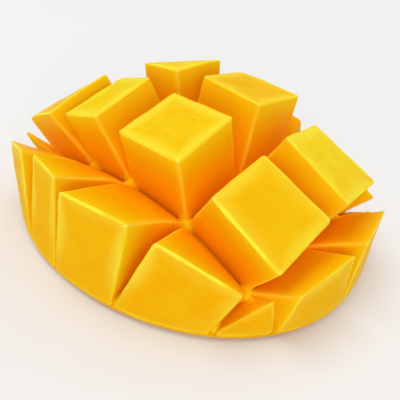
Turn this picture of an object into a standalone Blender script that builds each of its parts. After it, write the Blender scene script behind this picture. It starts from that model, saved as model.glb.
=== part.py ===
"""A mango cheek, scored in a grid and turned inside out, as it is served.

The cheek is cut off beside the stone and lies skin down. Its flat face is scored lengthwise and
across, down to the last layer of flesh on the peel. Pushed up from the peel side, it turns inside
out: the peel becomes a dome, hollow underneath, and the blocks of flesh fan out on top of it.

Everything is worked out from that one movement. A point of the uncut cheek is (u, v) on its flat
face, in metres from the middle, with u along the fruit. Three functions carry it over:
    flesh_depth(u, v)   how deep the flesh was there, so how tall its block is
    dome(u, v)          where that point of the peel layer lies afterwards
    Block.crown(u, v)   where that point of the cut face lies afterwards
X is along the long cuts, Y across them, Z up. The origin is on the table, under the middle of the part.
"""

import math

import bmesh
import bpy
from mathutils import Matrix, Vector

MM = 0.001

# The cut face of the cheek, before it was turned out: half lengths from the middle, and how full
# the oval is (2 is an ellipse).
LEFT = 47.5 * MM
RIGHT = 51.3 * MM
FRONT = 43.5 * MM
BACK = 37.5 * MM
FULLNESS = 2.05
FULLNESS_BACK_RIGHT = 2.5

# The oval has one nearly straight side on the back left: the direction that it faces, its distance
# from the middle, and how suddenly the flesh thins out towards it.
SIDE_DIRECTION = math.radians(137)
SIDE_DISTANCE = 19.6 * MM
SIDE_GROWTH = 5

# Flesh above the peel layer: its greatest depth, and how blunt its edge is (0.5 is round).
DEPTH = 20.5 * MM
BLUNTNESS = 0.70

# The dome that the peel layer makes once it is turned out: its rise, how much later than a cone
# it falls away on each side (1 is a cone), and how much narrower the rim becomes.
RISE = 15.0 * MM
FALL_LEFT = 2.25
FALL_RIGHT = 1.65
FALL_FRONT = 2.75
FALL_BACK = 1.95
SHRINK_ALONG = 0.073
SHRINK_ACROSS = 0.045

# Knife cuts across the fruit, and the same along it: (place in mm, slant, bend towards the far
# end in mm).
CUTS_ACROSS = ((-31.0, -0.01, 0), (-13.8, 0.165, 0), (-2.5, 0.12, 0), (14.0, 0.085, 0), (34.0, 0.06, 0))
CUTS_ALONG = ((-19.6, -0.035, -3.5), (-2.5, -0.02, 0), (12.2, 0.12, 0))
KERF = 0.3 * MM
CORNER_RADIUS = 1.0 * MM
EDGE_RADIUS = 1.0 * MM

# How much wider blocks are at the cut face than at the peel, how far those at the rim would lean, in
# degrees, and how the lean grows on the way there.
SPREAD = 1.04
LEAN_LEFT, GROWTH_LEFT = 60.6, 0.6
LEAN_RIGHT, GROWTH_RIGHT = 99.6, 1.85
LEAN_FRONT, GROWTH_FRONT = 110.0, 1.4
LEAN_BACK, GROWTH_BACK = 44.0, 0.7

# Blocks that settled away from that rule, as (row, column): (lean along, lean across, twist, sink),
# in degrees and mm. Row 0 is in front and column 0 on the left.
SETTLING = {
    (0, 1): (-1.5, 1, -10, -2), (0, 2): (-3, -1, -12, 0.5), (0, 3): (3.5, -4, 9, -1.5), (0, 4): (7, 0, 10, 1),
    (0, 5): (2, 45, -5, -2), (1, 0): (-8.5, 13.5, 0, -8), (1, 1): (4, 0, -8, -1), (1, 2): (-2.5, 2.5, -2, 0.5),
    (1, 3): (-6, 2, 0, 0.5), (1, 4): (3, 6, 3, 1), (1, 5): (-2.5, 6, -6.5, -2.5), (2, 1): (-8, 4, 0, -1),
    (2, 2): (8, -8, -5, -2), (2, 3): (-1.5, -2, -3, -1), (2, 4): (-2, -1, 2, 0), (2, 5): (-7.5, -1, 3.5, -2),
    (3, 3): (-1, 4, 0, 0), (3, 4): (-12, 8, 38, 1),
}

# The peel layer under the blocks, its sharp rim and the flat ring that it stands on.
PEEL_LAYER = 2.4 * MM
LIP = 1.3 * MM
LIP_UNDERCUT = 1.8 * MM
FOOT_WIDTH = 2.4 * MM

# How far the blocks stand in from the rim, and how far their roots reach into the peel layer.
RIM_STEP = 0.25 * MM
ROOT_DEPTH = 0.8 * MM
SMALLEST_BLOCK = 8.0 * MM * MM

# How finely the surfaces are divided.
OUTLINE_STEPS = 48
ARC_STEPS = 2
ROUND_STEPS = 2
EDGE_STEP = 8.0 * MM
SHORTEST_EDGE = 0.9 * MM
DOME_SHARES = (0.2, 0.4, 0.58, 0.74, 0.87, 0.96, 1.0)
HOLLOW_SHARES = (0.86, 0.74, 0.58, 0.4, 0.2)
SHARP_CORNER = math.radians(30)


def clear_scene():
    for item in list(bpy.data.objects):
        bpy.data.objects.remove(item)


def outline_parts(u, v):
    """What the oval and the straight side add to the way out. Together they are 1 on the outline."""
    half_u = LEFT if u < 0 else RIGHT
    half_v = FRONT if v < 0 else BACK
    fullness = FULLNESS_BACK_RIGHT if u > 0 and v > 0 else FULLNESS
    oval = (abs(u / half_u) ** fullness + abs(v / half_v) ** fullness) ** (FULLNESS / fullness)
    towards_side = u * math.cos(SIDE_DIRECTION) + v * math.sin(SIDE_DIRECTION)
    return oval, max(towards_side / SIDE_DISTANCE, 0) ** SIDE_GROWTH


def edge_share(u, v):
    """0 in the middle of the cut face, 1 on its outline."""
    return sum(outline_parts(u, v)) ** (1 / FULLNESS)


def side_share(u, v):
    """The share of the way to the straight side, 1 where the outline follows it."""
    oval, side = outline_parts(u, v)
    return min(side / max(1 - oval, side), 1) if side else 0


def way_to_edge(start, step):
    """How many times the step fits between the start and the outline."""
    low, high = 0.0, 2 * (LEFT + RIGHT) / step.length
    for _ in range(40):
        trial = 0.5 * (low + high)
        if edge_share(*(start + step * trial)) < 1:
            low = trial
        else:
            high = trial
    return low


def outline_point(angle):
    direction = Vector((math.cos(angle), math.sin(angle)))
    return direction * way_to_edge(Vector((0, 0)), direction)


def flesh_depth(u, v):
    """How tall the flesh over a point of the peel layer was."""
    return DEPTH * max(1 - edge_share(u, v) ** FULLNESS, 0) ** BLUNTNESS


def dome(u, v):
    """Where a point of the peel layer's upper side lies once the cheek is turned out."""
    share = edge_share(u, v)
    rise = RISE
    if share > 0:
        fall_u = FALL_LEFT if u < 0 else FALL_RIGHT
        fall_v = FALL_FRONT if v < 0 else FALL_BACK
        fall = (u * u * fall_u + v * v * fall_v) / (u * u + v * v)
        rise *= 1 - share ** fall
    return Vector((u * (1 - SHRINK_ALONG * share ** 2), v * (1 - SHRINK_ACROSS * share ** 2), LIP + rise))


def dome_normal(u, v):
    step = 0.05 * MM
    along = dome(u + step, v) - dome(u - step, v)
    across = dome(u, v + step) - dome(u, v - step)
    return along.cross(across).normalized()


def rim_place(point):
    """Just above the peel layer: where the cut face ends at the outline."""
    return dome(*point) + dome_normal(*(point * 0.98)) * RIM_STEP


class Cut:
    """One pass of the knife over the cut face, nearly straight."""

    def __init__(self, place, slant, bend, across):
        self.place = place * MM
        self.slant = slant
        self.bend = bend * MM
        self.across = across

    def distance(self, point):
        """How far the point lies beyond the cut, along the direction that the cuts step in."""
        along_cut, over_cut = (point.y, point.x) if self.across else (point.x, point.y)
        bent = self.bend * (max(along_cut, 0) / RIGHT) ** 2
        return (over_cut - self.place - self.slant * along_cut - bent) / math.hypot(1, self.slant)


def clip(points, inside):
    """The part of a convex polygon where inside(point) is positive."""
    kept = []
    for here, there in zip(points, points[1:] + points[:1]):
        now, then = inside(here), inside(there)
        if now > 0:
            kept.append(here)
        if now * then < 0:
            kept.append(here.lerp(there, now / (now - then)))
    return kept


def without_short_edges(points):
    kept = []
    for point in points:
        if not kept or (point - kept[-1]).length > SHORTEST_EDGE:
            kept.append(point)
    if len(kept) > 1 and (kept[0] - kept[-1]).length <= SHORTEST_EDGE:
        kept.pop()
    return kept


def with_long_edges_split(points):
    split = []
    for here, there in zip(points, points[1:] + points[:1]):
        steps = math.ceil((there - here).length / EDGE_STEP)
        split += [here.lerp(there, step / steps) for step in range(steps)]
    return split


def area_and_middle(points):
    total, middle = 0.0, Vector((0, 0))
    for here, there in zip(points[1:], points[2:]):
        piece = 0.5 * (here - points[0]).cross(there - points[0])
        total += piece
        middle += piece * (points[0] + here + there) / 3
    return total, middle / total


def inset_outline(inset):
    """The outline of the cut face, drawn in by a distance."""
    points = []
    for step in range(OUTLINE_STEPS):
        angle = 2 * math.pi * (step + 0.5) / OUTLINE_STEPS
        tangent = outline_point(angle + 0.01) - outline_point(angle - 0.01)
        inward = Vector((-tangent.y, tangent.x)).normalized()
        points.append(outline_point(angle) + inward * inset)
    return points


def lean_angle(place, before, after):
    """Degrees of lean at a place, from (half length, lean at the rim, growth) on its two sides."""
    half, lean, growth = before if place < 0 else after
    return math.copysign(lean * (abs(place) / half) ** growth, place)


class Block:
    """One block of flesh, between two cuts across the fruit and two along it.

    Its outline on the cut face is a core polygon, grown by a round corner on every side.
    """

    def __init__(self, row, column, cuts_across, cuts_along):
        inset = KERF / 2 + CORNER_RADIUS
        core = inset_outline(RIM_STEP + CORNER_RADIUS)
        self.way = Vector((0, 0))
        for index, cuts, axis in ((column, cuts_across, 0), (row, cuts_along, 1)):
            if index > 0:
                core = clip(core, lambda point: cuts[index - 1].distance(point) - inset)
            else:
                self.way[axis] = -1
            if index < len(cuts):
                core = clip(core, lambda point: -cuts[index].distance(point) - inset)
            else:
                self.way[axis] = 1
        if column == 0 and row > 0:
            self.way.y = 1  # on the left, the straight side ends these blocks at the back as well
        core = without_short_edges(core)
        self.area = 0.0
        if len(core) > 2:
            self.core = with_long_edges_split(core)
            self.area, self.middle = area_and_middle(core)
            self.settle(*SETTLING.get((row, column), (0, 0, 0, 0)))

    def settle(self, extra_along, extra_across, twist, sink):
        """Lean the block as its place on the dome makes it lean."""
        u, v = self.middle
        along = lean_angle(u, (LEFT, LEAN_LEFT, GROWTH_LEFT), (RIGHT, LEAN_RIGHT, GROWTH_RIGHT))
        across = lean_angle(v, (FRONT, LEAN_FRONT, GROWTH_FRONT), (BACK, LEAN_BACK, GROWTH_BACK))
        lean = Vector((-math.radians(across + extra_across), math.radians(along + extra_along), 0))
        self.turn = Matrix.Rotation(lean.length, 3, lean) @ Matrix.Rotation(math.radians(twist), 3, "Z")
        self.height = flesh_depth(u, v) - sink * MM

    def rigid(self, point):
        """Where a point of the cut face goes if its block keeps its shape."""
        arm = (point - self.middle) * SPREAD
        return dome(*self.middle) + self.turn @ Vector((arm.x, arm.y, self.height))

    def way_out(self, point):
        """The outline point that a line through this one reaches, and the share of the way to it."""
        if self.way.x and self.way.y:
            start = min(self.core, key=lambda p: edge_share(*p))
        elif self.way.x:
            start = Vector((min(self.core, key=lambda p: p.x * self.way.x).x, point.y))
        else:
            start = Vector((point.x, min(self.core, key=lambda p: p.y * self.way.y).y))
        start = start - self.way * CORNER_RADIUS
        times = way_to_edge(start, point - start)
        return start + (point - start) * times, 1 / times

    def crown(self, point):
        """Where a point of the cut face lies: on the block, and on the dome's rim at the outline."""
        place = self.rigid(point)
        if self.way.length:
            out, share = self.way_out(point)
            place += (rim_place(out) - self.rigid(out)) * share
        return place.lerp(rim_place(point), side_share(*point))

    def root(self, point):
        """Where the block ends, a little way into the peel layer."""
        return dome(*point) - dome_normal(*point) * ROOT_DEPTH

    def ring(self, radius):
        """The outline on the cut face with round corners, as (point, index of its core point)."""
        points = []
        for index, point in enumerate(self.core):
            coming = (point - self.core[index - 1]).normalized()
            going = (self.core[(index + 1) % len(self.core)] - point).normalized()
            first = math.atan2(-coming.x, coming.y)
            turn = math.atan2(coming.cross(going), coming.dot(going))
            shares = [step / ARC_STEPS for step in range(ARC_STEPS + 1)] if turn > SHARP_CORNER else [0.5]
            for share in shares:
                outward = Vector((math.cos(first + turn * share), math.sin(first + turn * share)))
                points.append((point + outward * radius, index))
        return points

    def wall_ring(self, mesh, inset, level, drop):
        """A ring round the block: inset from its side, at a level from root to edge, or below the crown."""
        ring = []
        for flat, _ in self.ring(CORNER_RADIUS - inset):
            root = self.root(flat)
            top = self.crown(flat)
            edge = min(EDGE_RADIUS, 0.5 * (top - root).length)
            place = top + (root - top).normalized() * edge * drop
            ring.append(mesh.verts.new(root.lerp(place, level)))
        return ring

    def build(self, mesh):
        """The block as one closed body, rooted a little way into the peel layer."""
        rings = [self.wall_ring(mesh, 0, level, 1) for level in (0, 0.5, 1)]
        for step in range(1, ROUND_STEPS + 1):
            angle = 0.5 * math.pi * step / (ROUND_STEPS + 1)
            rings.append(self.wall_ring(mesh, EDGE_RADIUS * (1 - math.cos(angle)), 1, 1 - math.sin(angle)))
        for lower, upper in zip(rings, rings[1:]):
            for i in range(len(lower)):
                j = (i + 1) % len(lower)
                mesh.faces.new((lower[i], lower[j], upper[j], upper[i]))
        core = [mesh.verts.new(self.crown(point)) for point in self.core]
        owners = [index for _, index in self.ring(CORNER_RADIUS)]
        last = rings[-1]
        for i in range(len(last)):
            j = (i + 1) % len(last)
            corners = [last[i], last[j], core[owners[j]]]
            if owners[i] != owners[j]:
                corners.append(core[owners[i]])
            mesh.faces.new(corners)
        self.close(mesh, core, self.core, self.crown)
        self.close(mesh, rings[0][::-1], [flat for flat, _ in self.ring(CORNER_RADIUS)][::-1], self.root)

    def close(self, mesh, ring, flats, place):
        """Close an end of the block with a face that follows place(point) inside the ring."""
        inner = [mesh.verts.new(place(self.middle.lerp(flat, 0.5))) for flat in flats]
        centre = mesh.verts.new(place(self.middle))
        for i in range(len(ring)):
            j = (i + 1) % len(ring)
            mesh.faces.new((ring[i], ring[j], inner[j], inner[i]))
            mesh.faces.new((inner[i], inner[j], centre))


def new_object(name, mesh, collection):
    data = bpy.data.meshes.new(name)
    mesh.to_mesh(data)
    mesh.free()
    item = bpy.data.objects.new(name, data)
    collection.objects.link(item)
    return item


def hollow(u, v):
    """The underside of the peel layer."""
    return dome(u, v) - dome_normal(u, v) * PEEL_LAYER


def foot(u, v, inset):
    """A point of the flat ring that the rim stands on."""
    place = dome(u, v)
    place.z = 0
    return place - place.normalized() * inset


def build_peel_layer(collection):
    """The dome of peel with its last layer of flesh: a shell that stands on a flat rim."""
    mesh = bmesh.new()
    outline = [outline_point(2 * math.pi * step / OUTLINE_STEPS) for step in range(OUTLINE_STEPS)]
    rings = [[dome(*(flat * share)) for flat in outline] for share in DOME_SHARES]
    rings.append([foot(*flat, LIP_UNDERCUT) for flat in outline])
    rings.append([foot(*flat, LIP_UNDERCUT + FOOT_WIDTH) for flat in outline])
    rings += [[hollow(*(flat * share)) for flat in outline] for share in HOLLOW_SHARES]
    rings = [[mesh.verts.new(place) for place in ring] for ring in rings]
    for inner, outer in zip(rings, rings[1:]):
        for i in range(OUTLINE_STEPS):
            j = (i + 1) % OUTLINE_STEPS
            mesh.faces.new((inner[i], outer[i], outer[j], inner[j]))
    for ring, middle in ((rings[0], dome(0, 0)), (rings[-1][::-1], dome(0, 0) - Vector((0, 0, PEEL_LAYER)))):
        centre = mesh.verts.new(middle)
        for i in range(OUTLINE_STEPS):
            mesh.faces.new((centre, ring[i], ring[(i + 1) % OUTLINE_STEPS]))
    return new_object("peel_layer", mesh, collection)


def build_blocks(collection):
    across = [Cut(*cut, across=True) for cut in CUTS_ACROSS]
    along = [Cut(*cut, across=False) for cut in CUTS_ALONG]
    blocks = []
    for row in range(len(along) + 1):
        for column in range(len(across) + 1):
            block = Block(row, column, across, along)
            if block.area < SMALLEST_BLOCK:
                continue
            mesh = bmesh.new()
            block.build(mesh)
            blocks.append(new_object(f"block_{row}_{column}", mesh, collection))
    return blocks


def flesh_material():
    material = bpy.data.materials.new("mango_flesh")
    material.use_nodes = True
    shader = material.node_tree.nodes["Principled BSDF"]
    shader.inputs["Base Color"].default_value = (0.9, 0.5, 0.02, 1)
    shader.inputs["Roughness"].default_value = 0.35
    shader.inputs["Metallic"].default_value = 0.0
    return material


def join_blocks(cheek, blocks, collection):
    """One solid of the peel layer and the blocks."""
    union = cheek.modifiers.new("union", "BOOLEAN")
    union.operation = "UNION"
    union.operand_type = "COLLECTION"
    union.collection = collection
    union.solver = "EXACT"
    bpy.context.view_layer.update()
    joined = bpy.data.meshes.new_from_object(cheek.evaluated_get(bpy.context.evaluated_depsgraph_get()))
    cheek.modifiers.remove(union)
    cheek.data = joined
    for block in blocks:
        bpy.data.objects.remove(block)
    bpy.data.collections.remove(collection)


def centre_on_table(item):
    """Move the mesh so that the middle of its bounding box is over the origin."""
    places = [vertex.co for vertex in item.data.vertices]
    low = Vector([min(place[axis] for place in places) for axis in range(3)])
    high = Vector([max(place[axis] for place in places) for axis in range(3)])
    item.data.transform(Matrix.Translation((-0.5 * (low.x + high.x), -0.5 * (low.y + high.y), -low.z)))


def main():
    clear_scene()
    scene = bpy.context.scene
    collection = bpy.data.collections.new("blocks")
    scene.collection.children.link(collection)
    blocks = build_blocks(collection)
    cheek = build_peel_layer(scene.collection)
    cheek.name = "mango_cheek"
    cheek.data.materials.append(flesh_material())
    join_blocks(cheek, blocks, collection)
    centre_on_table(cheek)


main()
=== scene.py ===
# %% [markdown]
# # A mango cheek, cut and turned inside out
# The cheek is cut off beside the stone. Its flat face is scored in a grid, down to the last layer of
# flesh on the peel, and a push from the peel side turns it inside out: the blocks fan out over a dome.
# The measured solid of it is loaded first. Everything below is made in its frame, in metres.

# %% Load the measured solid
import math

import bmesh
import bpy
import numpy as np
from mathutils import Matrix, Vector, kdtree, noise


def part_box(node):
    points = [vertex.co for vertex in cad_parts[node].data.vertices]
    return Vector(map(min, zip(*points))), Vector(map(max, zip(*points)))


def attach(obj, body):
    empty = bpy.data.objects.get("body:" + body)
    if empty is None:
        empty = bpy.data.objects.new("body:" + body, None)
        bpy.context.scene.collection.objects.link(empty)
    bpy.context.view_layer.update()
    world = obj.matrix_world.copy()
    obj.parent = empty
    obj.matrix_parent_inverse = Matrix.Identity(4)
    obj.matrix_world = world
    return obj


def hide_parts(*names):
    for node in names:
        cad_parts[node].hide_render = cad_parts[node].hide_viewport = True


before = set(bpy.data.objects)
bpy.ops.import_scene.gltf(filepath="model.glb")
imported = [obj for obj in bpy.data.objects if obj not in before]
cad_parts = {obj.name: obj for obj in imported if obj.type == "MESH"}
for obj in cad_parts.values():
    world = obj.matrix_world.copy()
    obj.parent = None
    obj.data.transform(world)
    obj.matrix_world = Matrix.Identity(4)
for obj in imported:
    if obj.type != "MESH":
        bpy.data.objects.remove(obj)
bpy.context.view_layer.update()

# %% [markdown]
# ## The camera
# A normal lens from about a hand's length, looking down on the fruit by a little over two fifths of a
# right angle. The camera is rolled by some ten degrees, so that the rim runs down to the right.
# The place is worked out from three angles and a distance, because these are easy to reason about.

# %% Camera
CAMERA_AIM = Vector((-0.00036, 0.00350, 0.00475))
CAMERA_AZIMUTH = math.radians(29.74)
CAMERA_ELEVATION = math.radians(37.86)
CAMERA_ROLL = math.radians(10.33)
CAMERA_DISTANCE = 0.15654
CAMERA_LENS = 53.9


def aim_camera():
    flat = math.cos(CAMERA_ELEVATION)
    sine, cosine = math.sin(CAMERA_AZIMUTH), math.cos(CAMERA_AZIMUTH)
    back = Vector((sine * flat, -cosine * flat, math.sin(CAMERA_ELEVATION)))
    right = Vector((cosine, sine, 0))
    turn = Matrix((right, back.cross(right), back)).transposed()
    camera = bpy.data.objects.new("camera", bpy.data.cameras.new("camera"))
    camera.data.lens = CAMERA_LENS
    camera.data.clip_start = 0.01
    camera.matrix_world = Matrix.Translation(CAMERA_AIM + back * CAMERA_DISTANCE) @ (
        turn @ Matrix.Rotation(CAMERA_ROLL, 3, "Z")
    ).to_4x4()
    bpy.context.scene.collection.objects.link(camera)
    bpy.context.scene.camera = camera
    return camera


print("camera at", [round(1000 * c) for c in aim_camera().matrix_world.translation], "mm")

# %% [markdown]
# ## The studio
# Fruit on white is lit from all sides: a bright room and three large soft lamps, one high over the
# fruit, one behind it and one low in front. Much light from all round keeps the deep cuts orange
# instead of black, which is how wet flesh looks; a painted glow in the flesh material helps with it.
# A plain matte sheet is the table.

# %% Floor, room light and three soft lamps
FLOOR_SIZE = 3.0
FLOOR_COLOUR = (0.85, 0.85, 0.85, 1)
ROOM_LIGHT = 0.69
LAMPS = {
    # name: (place in metres, size in metres, power in watts)
    "key_lamp": ((-0.25, -0.10, 0.75), 0.5, 1.8),
    "back_lamp": ((0.05, 0.65, 0.45), 0.5, 0.7),
    "front_lamp": ((0.36, -0.55, 0.26), 0.5, 1.25),
}


def plain_material(name, colour, roughness):
    material = bpy.data.materials.new(name)
    material.use_nodes = True
    shader = material.node_tree.nodes["Principled BSDF"]
    shader.inputs["Base Color"].default_value = colour
    shader.inputs["Roughness"].default_value = roughness
    return material


def lay_floor():
    mesh = bpy.data.meshes.new("floor")
    half = FLOOR_SIZE / 2
    corners = [(-half, -half, 0), (half, -half, 0), (half, half, 0), (-half, half, 0)]
    mesh.from_pydata(corners, [], [(0, 1, 2, 3)])
    mesh.materials.append(plain_material("pale_sheet", FLOOR_COLOUR, 0.9))
    floor = bpy.data.objects.new("floor", mesh)
    bpy.context.scene.collection.objects.link(floor)


def hang_lamp(name, place, size, power):
    light = bpy.data.lights.new(name, "AREA")
    light.size = size
    light.energy = power
    lamp = bpy.data.objects.new(name, light)
    lamp.location = place
    lamp.rotation_euler = (-Vector(place)).to_track_quat("-Z", "Y").to_euler()
    bpy.context.scene.collection.objects.link(lamp)


def light_room():
    world = bpy.data.worlds.new("bright_room")
    world.use_nodes = True
    background = world.node_tree.nodes["Background"]
    background.inputs["Color"].default_value = (1, 1, 1, 1)
    background.inputs["Strength"].default_value = ROOM_LIGHT
    bpy.context.scene.world = world
    bpy.context.scene.view_settings.view_transform = "Standard"


lay_floor()
light_room()
for lamp_name, (lamp_place, lamp_size, lamp_power) in LAMPS.items():
    hang_lamp(lamp_name, lamp_place, lamp_size, lamp_power)
print("floor, room light and", len(LAMPS), "lamps")

# %% [markdown]
# ## One movement makes the whole shape
# A point of the uncut cheek is (u, v) on its flat face, with u along the fruit. First come the
# outline of that face and the depth of the flesh. The outline is an oval with one nearly straight
# side, and the flesh thins out bluntly towards it.
# It would be quicker to model twenty cubes by hand, but then their sides wouldn't match across the
# cuts. Real blocks were one piece before the knife came, and one rule for all of them keeps that. A
# table of settling, further down, then moves most blocks away from the rule and gives some of it up.

# %% The uncut cheek
MM = 0.001
LEFT, RIGHT, FRONT, BACK = 47.5 * MM, 51.3 * MM, 43.5 * MM, 37.5 * MM
FULLNESS, FULLNESS_BACK_RIGHT = 2.05, 2.5
SIDE_DIRECTION = math.radians(137)
SIDE_DISTANCE = 19.6 * MM
SIDE_GROWTH = 5
DEPTH = 20.5 * MM
BLUNTNESS = 0.70


def outline_parts(u, v):
    """What the oval and the straight side add to the way out. Together they are 1 on the outline."""
    half_u = LEFT if u < 0 else RIGHT
    half_v = FRONT if v < 0 else BACK
    fullness = FULLNESS_BACK_RIGHT if u > 0 and v > 0 else FULLNESS
    oval = (abs(u / half_u) ** fullness + abs(v / half_v) ** fullness) ** (FULLNESS / fullness)
    towards_side = u * math.cos(SIDE_DIRECTION) + v * math.sin(SIDE_DIRECTION)
    return oval, max(towards_side / SIDE_DISTANCE, 0) ** SIDE_GROWTH


def edge_share(u, v):
    """0 in the middle of the cut face, 1 on its outline."""
    return sum(outline_parts(u, v)) ** (1 / FULLNESS)


def side_share(u, v):
    """The share of the way to the straight side, 1 where the outline follows it."""
    oval, side = outline_parts(u, v)
    return min(side / max(1 - oval, side), 1) if side else 0


def way_to_edge(start, step):
    """How many times the step fits between the start and the outline."""
    low, high = 0.0, 2 * (LEFT + RIGHT) / step.length
    for _ in range(30):
        trial = 0.5 * (low + high)
        if edge_share(*(start + step * trial)) < 1:
            low = trial
        else:
            high = trial
    return low


def outline_point(angle):
    direction = Vector((math.cos(angle), math.sin(angle)))
    return direction * way_to_edge(Vector((0, 0)), direction)


def flesh_depth(u, v):
    return DEPTH * max(1 - edge_share(u, v) ** FULLNESS, 0) ** BLUNTNESS


print("flesh in the middle:", round(1000 * flesh_depth(0, 0), 1), "mm deep")

# %% [markdown]
# ## The peel as a dome
# Turned out, the peel layer rises to a dome and its rim draws in a little, as a rubber cap does.
# Its numbers are the rise, how it falls away on each side and how far the rim draws in. The direction
# that the dome faces comes from two small steps along it.

# %% The dome
RISE = 15.0 * MM
FALL_LEFT, FALL_RIGHT, FALL_FRONT, FALL_BACK = 2.25, 1.65, 2.75, 1.95
SHRINK_ALONG, SHRINK_ACROSS = 0.073, 0.045
LIP = 1.3 * MM
RIM_STEP = 0.25 * MM


def dome(u, v):
    """Where a point of the peel layer's upper side lies once the cheek is turned out."""
    share = edge_share(u, v)
    rise = RISE
    if share > 0:
        fall_u = FALL_LEFT if u < 0 else FALL_RIGHT
        fall_v = FALL_FRONT if v < 0 else FALL_BACK
        fall = (u * u * fall_u + v * v * fall_v) / (u * u + v * v)
        rise *= 1 - share ** fall
    return Vector((u * (1 - SHRINK_ALONG * share ** 2), v * (1 - SHRINK_ACROSS * share ** 2), LIP + rise))


def dome_normal(u, v):
    step = 0.05 * MM
    along = dome(u + step, v) - dome(u - step, v)
    across = dome(u, v + step) - dome(u, v - step)
    return along.cross(across).normalized()


def rim_place(point):
    """Just above the peel layer: where the cut face ends at the outline."""
    return dome(*point) + dome_normal(*(point * 0.98)) * RIM_STEP


print("dome rises to", round(1000 * dome(0, 0).z, 1), "mm")

# %% [markdown]
# ## The knife
# Five cuts across the fruit and three along it, each nearly straight. A knife in the hand doesn't
# cut a perfect grid, so each cut has its own place, slant and bend. A block is what is left of the
# cut face between two neighbouring cuts each way: a polygon, clipped one cut at a time.

# %% The cuts and how they clip a polygon
CUTS_ACROSS = ((-31.0, -0.01, 0), (-13.8, 0.165, 0), (-2.5, 0.12, 0), (14.0, 0.085, 0), (34.0, 0.06, 0))
CUTS_ALONG = ((-19.6, -0.035, -3.5), (-2.5, -0.02, 0), (12.2, 0.12, 0))
KERF = 0.3 * MM


class Cut:
    """One pass of the knife over the cut face."""

    def __init__(self, place, slant, bend, across):
        self.place = place * MM
        self.slant = slant
        self.bend = bend * MM
        self.across = across

    def distance(self, point):
        """How far the point lies beyond the cut, along the direction that the cuts step in."""
        along_cut, over_cut = (point.y, point.x) if self.across else (point.x, point.y)
        bent = self.bend * (max(along_cut, 0) / RIGHT) ** 2
        return (over_cut - self.place - self.slant * along_cut - bent) / math.hypot(1, self.slant)


def clip(points, inside):
    """The part of a convex polygon where inside(point) is positive."""
    kept = []
    for here, there in zip(points, points[1:] + points[:1]):
        now, then = inside(here), inside(there)
        if now > 0:
            kept.append(here)
        if now * then < 0:
            kept.append(here.lerp(there, now / (now - then)))
    return kept


cuts_across = [Cut(*cut, across=True) for cut in CUTS_ACROSS]
cuts_along = [Cut(*cut, across=False) for cut in CUTS_ALONG]
print(len(cuts_across), "cuts across the fruit and", len(cuts_along), "along it")

# %% [markdown]
# ## How a block leans
# On a dome, a block leans away from the middle, more so near the rim. A table then gives most blocks a
# settling of their own: they lean, twist or sink away from the rule, mostly by less than fifteen
# degrees. The one at the front right leans by 45 more, and the one at the back right twists by 38.
# Blocks at the rim have one more duty, since their outer sides have to meet the rim.

# %% Leaning and settling
SPREAD = 1.04
LEAN_LEFT, GROWTH_LEFT = 60.6, 0.6
LEAN_RIGHT, GROWTH_RIGHT = 99.6, 1.85
LEAN_FRONT, GROWTH_FRONT = 110.0, 1.4
LEAN_BACK, GROWTH_BACK = 44.0, 0.7
SETTLING = {
    # (row, column): (lean along, lean across, twist in degrees, sink in mm)
    (0, 1): (-1.5, 1, -10, -2), (0, 2): (-3, -1, -12, 0.5), (0, 3): (3.5, -4, 9, -1.5),
    (0, 4): (7, 0, 10, 1), (0, 5): (2, 45, -5, -2),
    (1, 0): (-8.5, 13.5, 0, -8), (1, 1): (4, 0, -8, -1), (1, 2): (-2.5, 2.5, -2, 0.5),
    (1, 3): (-6, 2, 0, 0.5), (1, 4): (3, 6, 3, 1), (1, 5): (-2.5, 6, -6.5, -2.5),
    (2, 1): (-8, 4, 0, -1), (2, 2): (8, -8, -5, -2), (2, 3): (-1.5, -2, -3, -1),
    (2, 4): (-2, -1, 2, 0), (2, 5): (-7.5, -1, 3.5, -2),
    (3, 3): (-1, 4, 0, 0), (3, 4): (-12, 8, 38, 1),
}


def lean_angle(place, before, after):
    """Degrees of lean at a place, from (half length, lean at the rim, growth) on its two sides."""
    half, lean, growth = before if place < 0 else after
    return math.copysign(lean * (abs(place) / half) ** growth, place)


print(len(SETTLING), "blocks settled on their own")

# %% [markdown]
# ## One block of flesh
# A block is built as rings, from its root in the peel layer up its walls, round the top edge and in
# over the cut face. Every vertex also remembers where on the block it is: how high over the peel,
# how far below the cut face, how far in from the edge and how far from a corner. It remembers how
# golden and fibrous its block is too, since no two blocks show the same part of the fruit, and how
# soft the painted highlight on its edges is.
# Those numbers drive the colour later, so that the colour follows the flesh and not the camera.
# The walls leave the peel at right angles and then bend towards the lean of the block. That is how
# flesh parts when peel bends under it: the cut opens as a narrow cusp, not as a plain V.

# %% The block
CORNER_RADIUS = 1.0 * MM
EDGE_RADIUS = 0.38 * MM
ROOT_DEPTH = 0.8 * MM
SMALLEST_BLOCK = 8.0 * MM * MM
OUTLINE_STEPS = 180
RING_STEP = 0.7 * MM
SHORTEST_EDGE = 0.25 * MM
SHARP_CORNER = math.radians(30)
SOFT_ACROSS = 0.65
ARC_STEPS = 6
ROUND_STEPS = 4
WALL_STEP = 0.8 * MM
CROWN_SHARES = (0.1, 0.2, 0.3, 0.42, 0.54, 0.66, 0.78, 0.9)
ROOT_SHARES = (0.5,)
WALL_BEND = 0.22
FAR = 99 * MM
BARE_BELOW = 20
TINT = {
    # (row, column): (how golden its cut face is, how much its fibre streaks and their painted sheen show, how
    # soft the painted highlight on its edges is)
    (1, 2): (0.0, 0.3, 0.9), (1, 3): (0.25, 0.35, 1.0), (1, 4): (0.5, 0.1, 0.1), (2, 2): (0.1, 0.1, 0.6),
    (2, 3): (0.7, 0.1, 0.3), (2, 4): (0.0, 0.9, 0.0),
}
MARKS = ("height", "below", "inward", "corner", "stretched", "gold", "fibre", "soft", "along", "across")


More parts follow.
